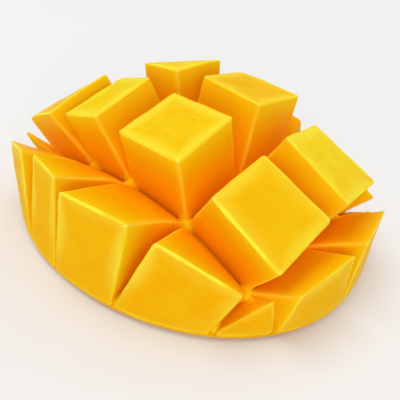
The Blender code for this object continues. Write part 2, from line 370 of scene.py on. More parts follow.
def inset_outline(inset):
    """The outline of the cut face, drawn in by a distance."""
    points = []
    for step in range(OUTLINE_STEPS):
        angle = 2 * math.pi * (step + 0.5) / OUTLINE_STEPS
        tangent = outline_point(angle + 0.01) - outline_point(angle - 0.01)
        inward = Vector((-tangent.y, tangent.x)).normalized()
        points.append(outline_point(angle) + inward * inset)
    return points


BLOCK_FIELD = inset_outline(RIM_STEP + CORNER_RADIUS)


def tidy_ring(points):
    """Drop edges that are too short and divide those that are long."""
    kept = []
    for point in points:
        if not kept or (point - kept[-1]).length > SHORTEST_EDGE:
            kept.append(point)
    if len(kept) > 1 and (kept[0] - kept[-1]).length <= SHORTEST_EDGE:
        kept.pop()
    split = []
    for here, there in zip(kept, kept[1:] + kept[:1]):
        steps = max(1, math.ceil((there - here).length / RING_STEP))
        split += [here.lerp(there, step / steps) for step in range(steps)]
    return split


def area_and_middle(points):
    total, middle = 0.0, Vector((0, 0))
    for here, there in zip(points[1:], points[2:]):
        piece = 0.5 * (here - points[0]).cross(there - points[0])
        total += piece
        middle += piece * (points[0] + here + there) / 3
    return total, middle / total


class Block:
    """One block of flesh between two cuts across the fruit and two along it."""

    def __init__(self, row, column):
        self.row, self.column = row, column
        self.gold, self.fibre, self.soft = TINT.get((row, column), (0.72, 0.06, 0.0))
        inset = KERF / 2 + CORNER_RADIUS
        core = BLOCK_FIELD
        self.way = Vector((0, 0))
        for index, cuts, axis in ((column, cuts_across, 0), (row, cuts_along, 1)):
            if index > 0:
                core = clip(core, lambda point: cuts[index - 1].distance(point) - inset)
            else:
                self.way[axis] = -1
            if index < len(cuts):
                core = clip(core, lambda point: -cuts[index].distance(point) - inset)
            else:
                self.way[axis] = 1
        if column == 0 and row > 0:
            self.way.y = 1  # on the left, the straight side ends these blocks at the back as well
        self.area = 0.0
        if len(core) > 2:
            core = tidy_ring(core)
        if len(core) > 2:
            self.core = core
            self.area, self.middle = area_and_middle(core)
            arms = [point - self.middle for point in core]
            self.half = Vector((max(abs(arm.x) for arm in arms), max(abs(arm.y) for arm in arms)))
            self.settle(*SETTLING.get((row, column), (0, 0, 0, 0)))
            self.outer = self.outer_line()

    def settle(self, extra_along, extra_across, twist, sink):
        """Lean the block as its place on the dome makes it lean."""
        u, v = self.middle
        along = lean_angle(u, (LEFT, LEAN_LEFT, GROWTH_LEFT), (RIGHT, LEAN_RIGHT, GROWTH_RIGHT))
        across = lean_angle(v, (FRONT, LEAN_FRONT, GROWTH_FRONT), (BACK, LEAN_BACK, GROWTH_BACK))
        lean = Vector((-math.radians(across + extra_across), math.radians(along + extra_along), 0))
        self.turn = Matrix.Rotation(lean.length, 3, lean) @ Matrix.Rotation(math.radians(twist), 3, "Z")
        self.height = flesh_depth(u, v) - sink * MM

    def outer_line(self):
        """The core's own innermost place each way, from which a rim block is measured outwards."""
        first = min(self.core, key=lambda p: edge_share(*p))
        return Vector((
            min(self.core, key=lambda p: p.x * self.way.x).x,
            min(self.core, key=lambda p: p.y * self.way.y).y,
        )), first

    def tint(self, point):
        """Gold, fibre, and the softness of the painted edge highlight: edges that run across the fruit always
        get the softer highlight.
        """
        arm = point - self.middle
        across = 0.5 + 2.5 * (abs(arm.x) / self.half.x - abs(arm.y) / self.half.y)
        return self.gold, self.fibre, max(self.soft, SOFT_ACROSS * min(max(across, 0), 1))

    def rigid(self, point):
        """Where a point of the cut face goes if its block keeps its shape."""
        arm = (point - self.middle) * SPREAD
        return dome(*self.middle) + self.turn @ Vector((arm.x, arm.y, self.height))

    def way_out(self, point):
        """The outline point that a line through this one reaches, and the share of the way to it."""
        line, first = self.outer
        if self.way.x and self.way.y:
            start = first
        elif self.way.x:
            start = Vector((line.x, point.y))
        else:
            start = Vector((point.x, line.y))
        start = start - self.way * CORNER_RADIUS
        times = way_to_edge(start, point - start)
        return start + (point - start) * times, 1 / times

    def crown(self, point):
        """Where a point of the cut face lies: on the block, and on the dome's rim at the outline."""
        place = self.rigid(point)
        if self.way.length:
            out, share = self.way_out(point)
            place += (rim_place(out) - self.rigid(out)) * share
        return place.lerp(rim_place(point), side_share(*point))

    def root(self, point):
        """Where the block ends, a little way into the peel layer."""
        return dome(*point) - dome_normal(*point) * ROOT_DEPTH

    def ring(self, radius):
        """The outline on the cut face with round corners, as (point, index of its core point)."""
        points = []
        for index, point in enumerate(self.core):
            coming = (point - self.core[index - 1]).normalized()
            going = (self.core[(index + 1) % len(self.core)] - point).normalized()
            first = math.atan2(-coming.x, coming.y)
            turn = math.atan2(coming.cross(going), coming.dot(going))
            shares = [step / ARC_STEPS for step in range(ARC_STEPS + 1)] if turn > SHARP_CORNER else [0.5]
            for share in shares:
                outward = Vector((math.cos(first + turn * share), math.sin(first + turn * share)))
                points.append((point + outward * radius, index))
        return points


def make_blocks():
    made = []
    for row in range(len(cuts_along) + 1):
        for column in range(len(cuts_across) + 1):
            block = Block(row, column)
            if block.area > SMALLEST_BLOCK:
                made.append(block)
    return made


blocks = make_blocks()
print(len(blocks), "blocks, the widest", round(1e6 * max(block.area for block in blocks)), "square mm")

# %% [markdown]
# ## Rings of vertices
# Each ring point has a path from its root to the edge of the cut face. The path is a cubic curve
# with two handles, the same kind that a pen tool draws. The walls are rows of points on these paths,
# the round edge is a few more rows, and rings that shrink towards the middle close the cut face.

# %% The mesh of one block
def corner_distances(ring):
    """For each point of a ring, how far round it the middle of the nearest round corner is."""
    places = [point for point, _ in ring]
    owners = [index for _, index in ring]
    along = [0.0]
    for here, there in zip(places, places[1:] + places[:1]):
        along.append(along[-1] + (there - here).length)
    total = along.pop()
    corners = []
    for owner in sorted(set(owners)):
        arc = [along[i] for i in range(len(ring)) if owners[i] == owner]
        if len(arc) > 1:
            corners.append(arc[len(arc) // 2])
    distances = []
    for place in along:
        gaps = [abs(place - corner) for corner in corners]
        distances.append(min([min(gap, total - gap) for gap in gaps], default=total))
    return distances


def wall_path(root, top, root_handle, top_handle, level):
    """A point on the curved wall between a root and the edge above it."""
    reach = (top - root).length * WALL_BEND
    one, two = root + root_handle * reach, top - top_handle * reach
    rest = 1 - level
    return (
        root * rest ** 3 + one * (3 * rest ** 2 * level) + two * (3 * rest * level ** 2) + top * level ** 3
    )


def build_block(block, mesh, marks):
    """Add the block to the mesh as one closed body. marks gets what each vertex remembers, in mm."""

    def add(place, flat, height, below, inward, corner):
        lengths = (height / MM, below / MM, inward / MM, corner / MM)
        marks.append((*lengths, 0, *block.tint(flat), flat.x / MM, flat.y / MM))
        return mesh.verts.new(place)

    outer = block.ring(CORNER_RADIUS)
    corner = corner_distances(outer)
    roots = [block.root(point) for point, _ in outer]
    normals = [dome_normal(*point) for point, _ in outer]
    tops = [block.crown(point) for point, _ in outer]
    tall = max((top - root).length for top, root in zip(tops, roots))
    axis = (block.crown(block.middle) - block.root(block.middle)).normalized()
    rows = max(6, round(tall / WALL_STEP))
    rings = []
    for row in range(rows + 1):
        ring = []
        for i in range(len(outer)):
            length = (tops[i] - roots[i]).length
            edge = min(EDGE_RADIUS, 0.5 * length)
            down = (roots[i] - tops[i]).normalized()
            place = wall_path(roots[i], tops[i] + down * edge, normals[i], -down.lerp(-axis, 0.5), row / rows)
            height = (place - roots[i]).length - ROOT_DEPTH
            ring.append(add(place, outer[i][0], height, max(length - ROOT_DEPTH - height, 0), 0, corner[i]))
        rings.append(ring)
    for step in range(1, ROUND_STEPS + 1):
        angle = 0.5 * math.pi * step / (ROUND_STEPS + 1)
        ring = []
        for i, (flat, _) in enumerate(block.ring(CORNER_RADIUS - EDGE_RADIUS * (1 - math.cos(angle)))):
            root, top = block.root(flat), block.crown(flat)
            edge = min(EDGE_RADIUS, 0.5 * (top - root).length)
            place = top + (root - top).normalized() * edge * (1 - math.sin(angle))
            below = edge * (1 - math.sin(angle))
            ring.append(add(place, flat, (place - root).length - ROOT_DEPTH, below, 0, corner[i]))
        rings.append(ring)
    for lower, upper in zip(rings, rings[1:]):
        for i in range(len(lower)):
            j = (i + 1) % len(lower)
            mesh.faces.new((lower[i], lower[j], upper[j], upper[i]))
    owners = [index for _, index in outer]
    core_corner = [
        min(corner[i] for i in range(len(outer)) if owners[i] == index) for index in range(len(block.core))
    ]

    def crown_ring(share):
        ring = []
        for index, point in enumerate(block.core):
            flat = point.lerp(block.middle, share)
            inward = EDGE_RADIUS + (flat - point).length
            place = block.crown(flat)
            ring.append(add(place, flat, (place - block.root(flat)).length, 0, inward, core_corner[index]))
        return ring

    core = crown_ring(0)
    last = rings[-1]
    for i in range(len(last)):
        j = (i + 1) % len(last)
        corners = [last[i], last[j], core[owners[j]]]
        if owners[i] != owners[j]:
            corners.append(core[owners[i]])
        mesh.faces.new(corners)
    inner = [core] + [crown_ring(share) for share in CROWN_SHARES]
    middle = block.middle
    half = min((point - middle).length for point in block.core)
    centre = add(block.crown(middle), middle, block.height, 0, EDGE_RADIUS + half, FAR)
    bottom = [rings[0][::-1]]
    flats = [point for point, _ in outer][::-1]
    for share in ROOT_SHARES:
        inner_flats = [flat.lerp(middle, share) for flat in flats]
        bottom.append([add(block.root(flat), flat, -ROOT_DEPTH, FAR, 0, FAR) for flat in inner_flats])
    base = add(block.root(middle), middle, -ROOT_DEPTH, FAR, 0, FAR)
    for nest, end in ((inner, centre), (bottom, base)):
        for wide, narrow in zip(nest, nest[1:]):
            for i in range(len(wide)):
                j = (i + 1) % len(wide)
                mesh.faces.new((wide[i], wide[j], narrow[j], narrow[i]))
        for i in range(len(nest[-1])):
            mesh.faces.new((nest[-1][i], nest[-1][(i + 1) % len(nest[-1])], end))


def new_piece(name, mesh):
    data = bpy.data.meshes.new(name)
    mesh.to_mesh(data)
    mesh.free()
    item = bpy.data.objects.new(name, data)
    bpy.context.scene.collection.objects.link(item)
    return item


marks = []
places = []
block_bodies = []
for block in blocks:
    block_mesh = bmesh.new()
    build_block(block, block_mesh, marks)
    places += [vertex.co.copy() for vertex in block_mesh.verts]
    block_bodies.append(new_piece(f"block_{block.row}_{block.column}", block_mesh))
print("block vertices:", len(marks))

# %% [markdown]
# ## The last layer of flesh, and the webs at the crossings
# Under the blocks lies the layer that the knife didn't reach. Where two cuts cross, and where a cut
# runs out at the rim, a small pad of it shows between the blocks, stretched and lighter. The pads
# are flat lenses of a few rings, set into the layer.

# %% The flesh layer and the pads
PEEL_LAYER = 2.4 * MM
PEEL_THICKNESS = 0.6 * MM
LIP_UNDERCUT = 1.8 * MM
FOOT_WIDTH = 2.4 * MM
DOME_SHARES = tuple(step / 30 for step in range(1, 30)) + (0.985, 1.0)
HOLLOW_SHARES = (0.86, 0.8, 0.72, 0.62, 0.5, 0.38, 0.26, 0.14)
PAD_RADIUS = 2.9 * MM
PAD_HEIGHT = 2.5 * MM
PAD_POINTS = 20
PAD_SUNK = 0.12 * MM
RIM_PAD_RADIUS = 1.3 * MM
RIM_PAD_HEIGHT = 0.6 * MM


def hollow(u, v, depth):
    """A point below the dome, at right angles to it."""
    return dome(u, v) - dome_normal(u, v) * depth


def foot(u, v, inset, lift):
    """A point of the ring that the rim stands on, or above it."""
    place = dome(u, v)
    place.z = 0
    place -= place.normalized() * inset
    place.z = lift
    return place


def close_rings(mesh, rings, first, last):
    """Rings of vertices from the middle of the upper side, over the rim, to the middle below."""
    rings = [[mesh.verts.new(place) for place in ring] for ring in rings]
    for inner, outer in zip(rings, rings[1:]):
        for i in range(len(inner)):
            j = (i + 1) % len(inner)
            mesh.faces.new((inner[i], outer[i], outer[j], inner[j]))
    for ring, middle in ((rings[0], first), (rings[-1][::-1], last)):
        centre = mesh.verts.new(middle)
        for i in range(len(ring)):
            mesh.faces.new((centre, ring[i], ring[(i + 1) % len(ring)]))


def build_flesh_layer():
    mesh = bmesh.new()
    outline = [outline_point(2 * math.pi * step / OUTLINE_STEPS) for step in range(OUTLINE_STEPS)]
    depth = PEEL_LAYER - 0.8 * PEEL_THICKNESS
    rings = [[dome(*(flat * share)) for flat in outline] for share in DOME_SHARES]
    rings.append([foot(*flat, 0.6 * LIP_UNDERCUT, 0.6 * MM) for flat in outline])
    rings.append([foot(*flat, LIP_UNDERCUT + 0.7 * MM, 0.5 * MM) for flat in outline])
    rings.append([foot(*flat, LIP_UNDERCUT + FOOT_WIDTH - 0.6 * MM, 0.5 * MM) for flat in outline])
    rings += [[hollow(*(flat * share), depth) for flat in outline] for share in HOLLOW_SHARES]
    close_rings(mesh, rings, dome(0, 0), hollow(0, 0.0001, depth))
    return new_piece("mango_flesh", mesh)


def cut_crossing(cut, other):
    """Where a cut across the fruit meets one along it."""
    point = Vector((cut.place, other.place))
    for _ in range(12):
        point.x -= cut.distance(point)
        point.y -= other.distance(point)
    return point


def cut_ends(cut):
    """Where a cut runs out at the rim, on both sides."""
    places = []
    for step in range(-50, 54):
        along = step * MM
        point = Vector((cut.place + cut.slant * along, along))
        if not cut.across:
            point = Vector((along, cut.place + cut.slant * along + cut.bend * (max(along, 0) / RIGHT) ** 2))
        if edge_share(*point) < 0.965:
            places.append(point)
    return [places[0], places[-1]]


def build_pad(name, middle, radius, height):
    """A low lens of flesh on the dome, sunk into it all round."""
    mesh = bmesh.new()
    rings = []
    for share in (0.3, 0.6, 0.85, 1.0):
        ring = []
        for step in range(PAD_POINTS):
            angle = 2 * math.pi * step / PAD_POINTS
            flat = middle + Vector((math.cos(angle), math.sin(angle))) * radius * share
            flat *= min(1, 0.985 / edge_share(*flat))
            lift = height * (1 - share ** 2) - PAD_SUNK
            ring.append(dome(*flat) + dome_normal(*flat) * lift)
        rings.append(ring)
    top = dome(*middle) + dome_normal(*middle) * (height - PAD_SUNK)
    low = dome(*middle) - dome_normal(*middle) * ROOT_DEPTH
    close_rings(mesh, rings, top, low)
    return new_piece(name, mesh)


flesh = build_flesh_layer()
crossings = [cut_crossing(cut, other) for cut in cuts_across for other in cuts_along]
crossings = [point for point in crossings if edge_share(*point) < 0.93]
ends = [point for cut in cuts_across + cuts_along for point in cut_ends(cut)]
pads = [build_pad(f"pad_{i}", point, PAD_RADIUS, PAD_HEIGHT) for i, point in enumerate(crossings)]
pads += [build_pad(f"rim_pad_{i}", point, RIM_PAD_RADIUS, RIM_PAD_HEIGHT) for i, point in enumerate(ends)]
print(len(crossings), "crossings and", len(ends), "cut ends")

# %% [markdown]
# ## One body
# Light wanders inside fruit before it comes out. Walls inside the body would stop it, so the blocks,
# the layer and the pads are joined by one union, and what lay inside is gone. Afterwards each vertex
# looks up the nearest remembered one and takes over what it knew.

# %% Union and the marks on it
def unite(target, others):
    collection = bpy.data.collections.new("to_unite")
    bpy.context.scene.collection.children.link(collection)
    for item in others:
        bpy.context.scene.collection.objects.unlink(item)
        collection.objects.link(item)
    union = target.modifiers.new("union", "BOOLEAN")
    union.operation = "UNION"
    union.operand_type = "COLLECTION"
    union.collection = collection
    union.solver = "MANIFOLD"
    bpy.context.view_layer.update()
    joined = bpy.data.meshes.new_from_object(target.evaluated_get(bpy.context.evaluated_depsgraph_get()))
    target.modifiers.remove(union)
    target.data = joined
    for item in others:
        bpy.data.objects.remove(item)
    bpy.data.collections.remove(collection)


def remember_bare(item, stretched):
    """Marks for a body that isn't a block. stretched tells how far the flesh is stretched at a place."""
    for vertex in item.data.vertices:
        share = min(max(stretched(vertex.co), 0), 1)
        places.append(vertex.co.copy())
        marks.append((0, BARE_BELOW, 0, FAR / MM, share, 0, 0, 0, vertex.co.x / MM, vertex.co.y / MM))


def nearest_marks(mesh, places, marks):
    """The marks of the nearest remembered vertex, for each vertex of the mesh."""
    tree = kdtree.KDTree(len(places))
    for index, place in enumerate(places):
        tree.insert(place, index)
    tree.balance()
    found = np.array([marks[tree.find(vertex.co)[1]] for vertex in mesh.vertices])
    return dict(zip(MARKS, found.T))


remember_bare(flesh, lambda place: min((LIP + 1.2 * MM - place.z) / MM, 0.6))
pad_tops = [dome(*point) + dome_normal(*point) * PAD_HEIGHT for point in crossings]
pad_tops += [dome(*point) + dome_normal(*point) * RIM_PAD_HEIGHT for point in ends]
for pad, pad_top in zip(pads, pad_tops):
    remember_bare(pad, lambda place: 2.6 - 2.2 * (place - pad_top).length / PAD_RADIUS)
unite(flesh, block_bodies + pads)
found_marks = nearest_marks(flesh.data, places, marks)
print("flesh:", len(flesh.data.vertices), "vertices,", len(flesh.data.polygons), "faces")

# %% [markdown]
# ## Where bodies run into each other
# A union leaves a sharp seam, but flesh has none: a pad is pulled up into the corners of the blocks
# round it. So each vertex near a crossing moves some of the way to the middle of its neighbours, a
# few times over. The marks that give the colour of a wall are smoothed in the same way.

# %% Melt the seams at the crossings
MELT_RADIUS = 3.2 * MM
MELT_PASSES = 6
MELT_MARKS = ("height", "below", "stretched")


def melt(mesh, found, middles, radius, passes):
    places = np.array([vertex.co[:] for vertex in mesh.vertices])
    edges = np.array([edge.vertices[:] for edge in mesh.edges])
    apart = np.min([np.linalg.norm(places - np.array(middle), axis=1) for middle in middles], axis=0)
    share = 0.5 * np.clip(2 * (1 - apart / radius), 0, 1)[:, None]
    values = np.column_stack([places] + [found[name] for name in MELT_MARKS])
    neighbours = np.bincount(edges.ravel(), minlength=len(places))[:, None]
    for _ in range(passes):
        total = np.zeros_like(values)
        np.add.at(total, edges[:, 0], values[edges[:, 1]])
        np.add.at(total, edges[:, 1], values[edges[:, 0]])
        values += share * (total / neighbours - values)
    mesh.vertices.foreach_set("co", values[:, :3].ravel())
    mesh.update()
    for index, name in enumerate(MELT_MARKS):
        found[name] = values[:, 3 + index]
    return int(np.count_nonzero(share))


melted = melt(flesh.data, found_marks, pad_tops[: len(crossings)], MELT_RADIUS, MELT_PASSES)
print("smoothed", melted, "vertices")

# %% [markdown]
# ## Soft, not machined
# Ripe flesh gives under the knife, so its faces are never quite flat. A slow noise moves each vertex
# along its normal by a small part of a millimetre, and on the cut faces a second one, drawn out
# along the fruit, raises the fibres. The noise is read in the place that the flesh had before it was
# turned out, so that the fibres run on from block to block.

# %% Waviness and fibres
WAVE = 0.16 * MM
WAVE_SCALE = 5.0
FIBRE = 0.32 * MM
FIBRE_ALONG, FIBRE_ACROSS = 5.0, 0.9


def soften(mesh, found):
    normals = [vertex.normal.copy() for vertex in mesh.vertices]
    for index, vertex in enumerate(mesh.vertices):
        if vertex.co.z < 1.5 * MM:
            continue
        along, across, inward = found["along"][index], found["across"][index], found["inward"][index]
        place = Vector((along, across, found["height"][index]))
        shift = WAVE * noise.noise(place / WAVE_SCALE)
        if inward > 0.7:
            fibres = noise.noise(Vector((along / FIBRE_ALONG, across / FIBRE_ACROSS, 7)))
            shift += FIBRE * found["fibre"][index] * fibres * min(inward - 0.7, 1)
        vertex.co += normals[index] * shift


soften(flesh.data, found_marks)
print("waviness up to", round(1000 * WAVE, 2), "mm")

# %% [markdown]
# ## The peel
# The skin is a separate piece, thin and tough, which closes the underside of the dome and comes up
# round the lip. It is a closed shell of its own, pushed a hair into the flesh so that no gap shows.

# %% The peel
LIP_SHARE = 0.22


def build_peel():
    mesh = bmesh.new()
    outline = [outline_point(2 * math.pi * step / OUTLINE_STEPS) for step in range(OUTLINE_STEPS)]
    inner_depth = PEEL_LAYER - PEEL_THICKNESS
    start, lift = LIP_UNDERCUT * LIP_SHARE, LIP * (1 - LIP_SHARE)
    rings = [[hollow(*(flat * share), inner_depth) for flat in outline] for share in reversed(HOLLOW_SHARES)]
    path = (
        (LIP_UNDERCUT + FOOT_WIDTH - 0.3 * MM, PEEL_THICKNESS),
        (LIP_UNDERCUT + 0.2 * MM, PEEL_THICKNESS),
        (start + 0.25 * MM, lift),
        (start + 0.1 * MM, lift + 0.04 * MM),
        (start, lift),
        (LIP_UNDERCUT * 0.6, LIP * 0.4),
        (LIP_UNDERCUT * 0.92, LIP * 0.1),
        (LIP_UNDERCUT * 1.1, 0),
        (LIP_UNDERCUT + FOOT_WIDTH * 0.5, 0),
        (LIP_UNDERCUT + FOOT_WIDTH, 0),
    )
    rings += [[foot(*flat, inset, height) for flat in outline] for inset, height in path]
    rings += [[hollow(*(flat * share), PEEL_LAYER) for flat in outline] for share in HOLLOW_SHARES]
    close_rings(mesh, rings, hollow(0, 0.0001, inner_depth), hollow(0, 0.0001, PEEL_LAYER))
    return new_piece("mango_peel", mesh)


peel = build_peel()
print("peel:", len(peel.data.vertices), "vertices")

# %% [markdown]
# ## Into the measured box
# The solid's origin is on the table, under the middle of its box. The two pieces are moved the same
# way. Where the waviness made them a touch larger than the solid, they are scaled back into its box.

# %% Move the pieces into the frame
def fit_into_box(items, low, high):
    places = [vertex.co for item in items for vertex in item.data.vertices]
    own_low = Vector([min(place[axis] for place in places) for axis in range(3)])
    own_high = Vector([max(place[axis] for place in places) for axis in range(3)])
    scale = [min(1, (high[axis] - low[axis]) / (own_high[axis] - own_low[axis])) for axis in range(3)]
    middle = 0.5 * (own_low + own_high)
    base = Vector((middle.x, middle.y, own_low.z))
    target = Vector((0.5 * (low.x + high.x), 0.5 * (low.y + high.y), low.z))
    fit = Matrix.Translation(target) @ Matrix.Diagonal((*scale, 1)) @ Matrix.Translation(-base)
    for item in items:
        item.data.transform(fit)
    return scale, target - base


fit_scale, fit_shift = fit_into_box((flesh, peel), *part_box("mango_cheek"))
print("scaled by", [round(s, 4) for s in fit_scale])
print("moved by", [round(1000 * s, 2) for s in fit_shift], "mm")

# %% [markdown]
# ## Marks become attributes
# A shader can't see Python lists. It reads numbers that are stored on the mesh, as named attributes.

# %% Attributes on the flesh
def store_marks(mesh, found):
    shares = [edge_share(along * MM, across * MM) for along, across in zip(found["along"], found["across"])]
    for name, values in {**found, "rimward": shares}.items():
        layer = mesh.attributes.new(name, "FLOAT", "POINT")
        layer.data.foreach_set("value", np.ascontiguousarray(values, dtype=np.float32))
    layer = mesh.attributes.new("uncut_place", "FLOAT_VECTOR", "POINT")
    uncut = np.stack((found["along"], found["across"], found["height"]), axis=1)
    layer.data.foreach_set("vector", uncut.astype(np.float32).ravel())


store_marks(flesh.data, found_marks)
print("attributes:", [layer.name for layer in flesh.data.attributes if layer.domain == "POINT"])

# %% [markdown]
# ## Mottling, for flesh and peel
# Both the flesh and the peel are a little uneven in colour. The same node group gives both their
# uneven patches: soft noise between 0 and 1, with its own size and contrast in each material.

# %% A node group for mottling
def add_socket(group, name, way, kind, value=None):
    socket = group.interface.new_socket(name=name, in_out=way, socket_type=kind)
    if value is not None:
        socket.default_value = value


def mottling_group():
    group = bpy.data.node_groups.new("mottling", "ShaderNodeTree")
    add_socket(group, "Vector", "INPUT", "NodeSocketVector")
    add_socket(group, "Scale", "INPUT", "NodeSocketFloat", 1.0)
    add_socket(group, "Low", "INPUT", "NodeSocketFloat", 0.35)
    add_socket(group, "High", "INPUT", "NodeSocketFloat", 0.65)
    add_socket(group, "Patches", "OUTPUT", "NodeSocketFloat")
    nodes, links = group.nodes, group.links
    given, result = nodes.new("NodeGroupInput"), nodes.new("NodeGroupOutput")
    patches = nodes.new("ShaderNodeTexNoise")
    patches.inputs["Detail"].default_value = 3.0
    spread = nodes.new("ShaderNodeMapRange")
    spread.interpolation_type = "SMOOTHSTEP"
    links.new(given.outputs["Vector"], patches.inputs["Vector"])
    links.new(given.outputs["Scale"], patches.inputs["Scale"])
    links.new(patches.outputs["Fac"], spread.inputs["Value"])
    links.new(given.outputs["Low"], spread.inputs["From Min"])
    links.new(given.outputs["High"], spread.inputs["From Max"])
    links.new(spread.outputs["Result"], result.inputs["Patches"])
    return group


mottling = mottling_group()
print("group:", mottling.name)

# %% [markdown]
# ## The colours of the flesh
# Cut faces are plain yellow, and walls turn from yellow at the top to deep orange in the cuts: painted
# shade, where light would come a long way through flesh. The cut edges are the lightest, almost lemon,
# a painted highlight on edges that are thin and let light out on both sides.

# %% Colours of the flesh
# A painted glint: the palest colour, on the very tips of the blocks.
TIP_GLINT = (0.92, 0.87, 0.14, 1)
# Lemon: the painted highlight on the cut edges, and also the colour of the fibre streaks.
LEMON_HIGHLIGHT_AND_FIBRE = (0.90, 0.82, 0.06, 1)
CUT_YELLOW = (0.88, 0.62, 0.006, 1)
CUT_GOLD = (0.88, 0.42, 0.001, 1)
# A painted highlight down the round corners between two walls.
CORNER_HIGHLIGHT = (0.91, 0.60, 0.05, 1)
# Wall colours from top to foot: the darkening towards the foot is painted shade of the cuts.
WALL_TOP = (0.91, 0.555, 0.005, 1)
WALL_YELLOW = (0.92, 0.48, 0.002, 1)
WALL_ORANGE = (0.84, 0.36, 0.001, 1)
WALL_DEEP_SHADE = (0.83, 0.31, 0.001, 1)
PAD_YELLOW = (0.92, 0.58, 0.005, 1)
wall_greens = [colour[1] for colour in (WALL_TOP, WALL_YELLOW, WALL_ORANGE, WALL_DEEP_SHADE)]
print("green in the walls, from top to bottom:", wall_greens)

# %% [markdown]
# ## A bench for nodes
# Nodes that are placed and linked one by one make long code. The bench has one short method for each
# kind of node that the two materials need. A fade is given as where it starts and ends, and the share
# that it has at both ends.


# %% Short ways to place nodes
class NodeBench:
    """Short ways to place and link nodes of one material."""

    def __init__(self, name):
        self.material = bpy.data.materials.new(name)
        self.material.use_nodes = True
        self.nodes = self.material.node_tree.nodes
        self.links = self.material.node_tree.links
        self.shader = self.nodes["Principled BSDF"]

    def put(self, kind, inputs=None, **settings):
        node = self.nodes.new(kind)
        for key, value in settings.items():
            setattr(node, key, value)
        for name, value in (inputs or {}).items():
            self.feed(node.inputs[name], value)
        return node

    def feed(self, socket, value):
        if isinstance(value, bpy.types.NodeSocket):
            self.links.new(value, socket)
        else:
            socket.default_value = value

    def mark(self, name, output="Fac"):
        return self.put("ShaderNodeAttribute", attribute_name=name).outputs[output]

    def math(self, operation, one, two=0.0):
        node = self.put("ShaderNodeMath", operation=operation)
        self.feed(node.inputs[0], one)
        self.feed(node.inputs[1], two)
        return node.outputs[0]

    def product(self, first, *others):
        for other in others:
            first = self.math("MULTIPLY", first, other)
        return first

    def fade(self, value, start, end, first=0.0, last=1.0):
        """A smooth way from first at start to last at end."""
        given = {"Value": value, "From Min": start, "From Max": end, "To Min": first, "To Max": last}
        return self.put("ShaderNodeMapRange", given, interpolation_type="SMOOTHSTEP").outputs["Result"]

    def mix(self, share, one, two):
        node = self.put("ShaderNodeMix", data_type="RGBA")
        for index, value in ((0, share), (6, one), (7, two)):
            self.feed(node.inputs[index], value)
        return node.outputs[2]

    def ramp(self, value, stops):
        node = self.put("ShaderNodeValToRGB")
        self.feed(node.inputs[0], value)
        elements = node.color_ramp.elements
        while len(elements) < len(stops):
            elements.new(0.5)
        for element, (place, colour) in zip(elements, stops):
            element.position = place
            element.color = colour
        return node.outputs["Color"]

    def group(self, tree, **inputs):
        return self.put("ShaderNodeGroup", inputs, node_tree=tree)

    def bump(self, relief, strength, distance):
        node = self.put("ShaderNodeBump", {"Height": relief, "Strength": strength, "Distance": distance})
        self.feed(self.shader.inputs["Normal"], node.outputs["Normal"])


print("the bench makes", [name for name in vars(NodeBench) if not name.startswith("_")])

# %% [markdown]
# ## Cut faces
# Towards the rim the flesh is riper and more golden, and fibres show as fine lemon streaks, which on
# the most fibrous blocks also stand in for a painted sheen. The edge of a cut face has a painted
# highlight: a thin lemon line and a halo that fades towards the middle of the face. The softer the
# edge, the weaker is its line and the stronger its halo. At the rim both nearly die out.

# %% Colour of a cut face
# Fades over a mark: where it starts and ends, and the shares there. Lengths are in millimetres.
STREAK_FADE = (0.48, 0.66)
STREAK_SHARE = 0.55
RIM_GOLD_FADE = (0.45, 0.85, 0.0, 0.75)
PATCH_GOLD = 0.2
RIM_FADE = (0.70, 0.97, 1.0, 0.2)
# The edge fade, the two line fades and the halo below shape the painted edge highlight.
EDGE_HIGHLIGHT_FADE = (0.1, 0.6, 0.5, 0.0)
UNEVEN_LINE, SOFT_LINE = (0.0, 1.0, 0.45, 1.0), (0.0, 1.0, 1.0, 0.45)
HIGHLIGHT_HALO_WIDTH, HIGHLIGHT_HALO_SHARE = (0.0, 1.0, 4.5, 3.4), (0.0, 1.0, 0.2, 0.55)


def cut_face(bench, mark, patches, fibres):
    """The colour of a cut face away from its edge."""
    golden = bench.math("MAXIMUM", mark["gold"], bench.fade(mark["rimward"], *RIM_GOLD_FADE))
    golden = bench.math("ADD", golden, bench.product(patches, PATCH_GOLD))
    # Lemon fibre streaks: real fibres, and on the most fibrous blocks also a painted sheen.
    streaks = bench.product(bench.fade(fibres, *STREAK_FADE), mark["fibre"], STREAK_SHARE)
    return bench.mix(streaks, bench.mix(golden, CUT_YELLOW, CUT_GOLD), LEMON_HIGHLIGHT_AND_FIBRE)


def with_edge(bench, mark, face, inside):
    """The cut face with its painted edge highlight and halo, and the colour of the rounding that leads over
    to the wall, which carries the same painted line.
    """
    soft = mark["soft"]
    mottled = bench.group(mottling, Vector=mark["uncut_place"], Scale=0.07, Low=0.42, High=0.6)
    uneven = bench.fade(mottled.outputs["Patches"], *UNEVEN_LINE)
    line = bench.product(uneven, bench.fade(soft, *SOFT_LINE), inside)
    edge = bench.product(bench.fade(mark["inward"], *EDGE_HIGHLIGHT_FADE), line)
    width, share = bench.fade(soft, *HIGHLIGHT_HALO_WIDTH), bench.fade(soft, *HIGHLIGHT_HALO_SHARE)
    halo = bench.product(bench.fade(mark["inward"], 0.0, width, share, 0.0), inside)
    crown = bench.mix(halo, bench.mix(edge, face, LEMON_HIGHLIGHT_AND_FIBRE), LEMON_HIGHLIGHT_AND_FIBRE)
    return crown, bench.mix(line, bench.mix(soft, WALL_TOP, face), LEMON_HIGHLIGHT_AND_FIBRE)


print("a halo is", HIGHLIGHT_HALO_SHARE[2:], "strong and", HIGHLIGHT_HALO_WIDTH[2:], "mm wide")

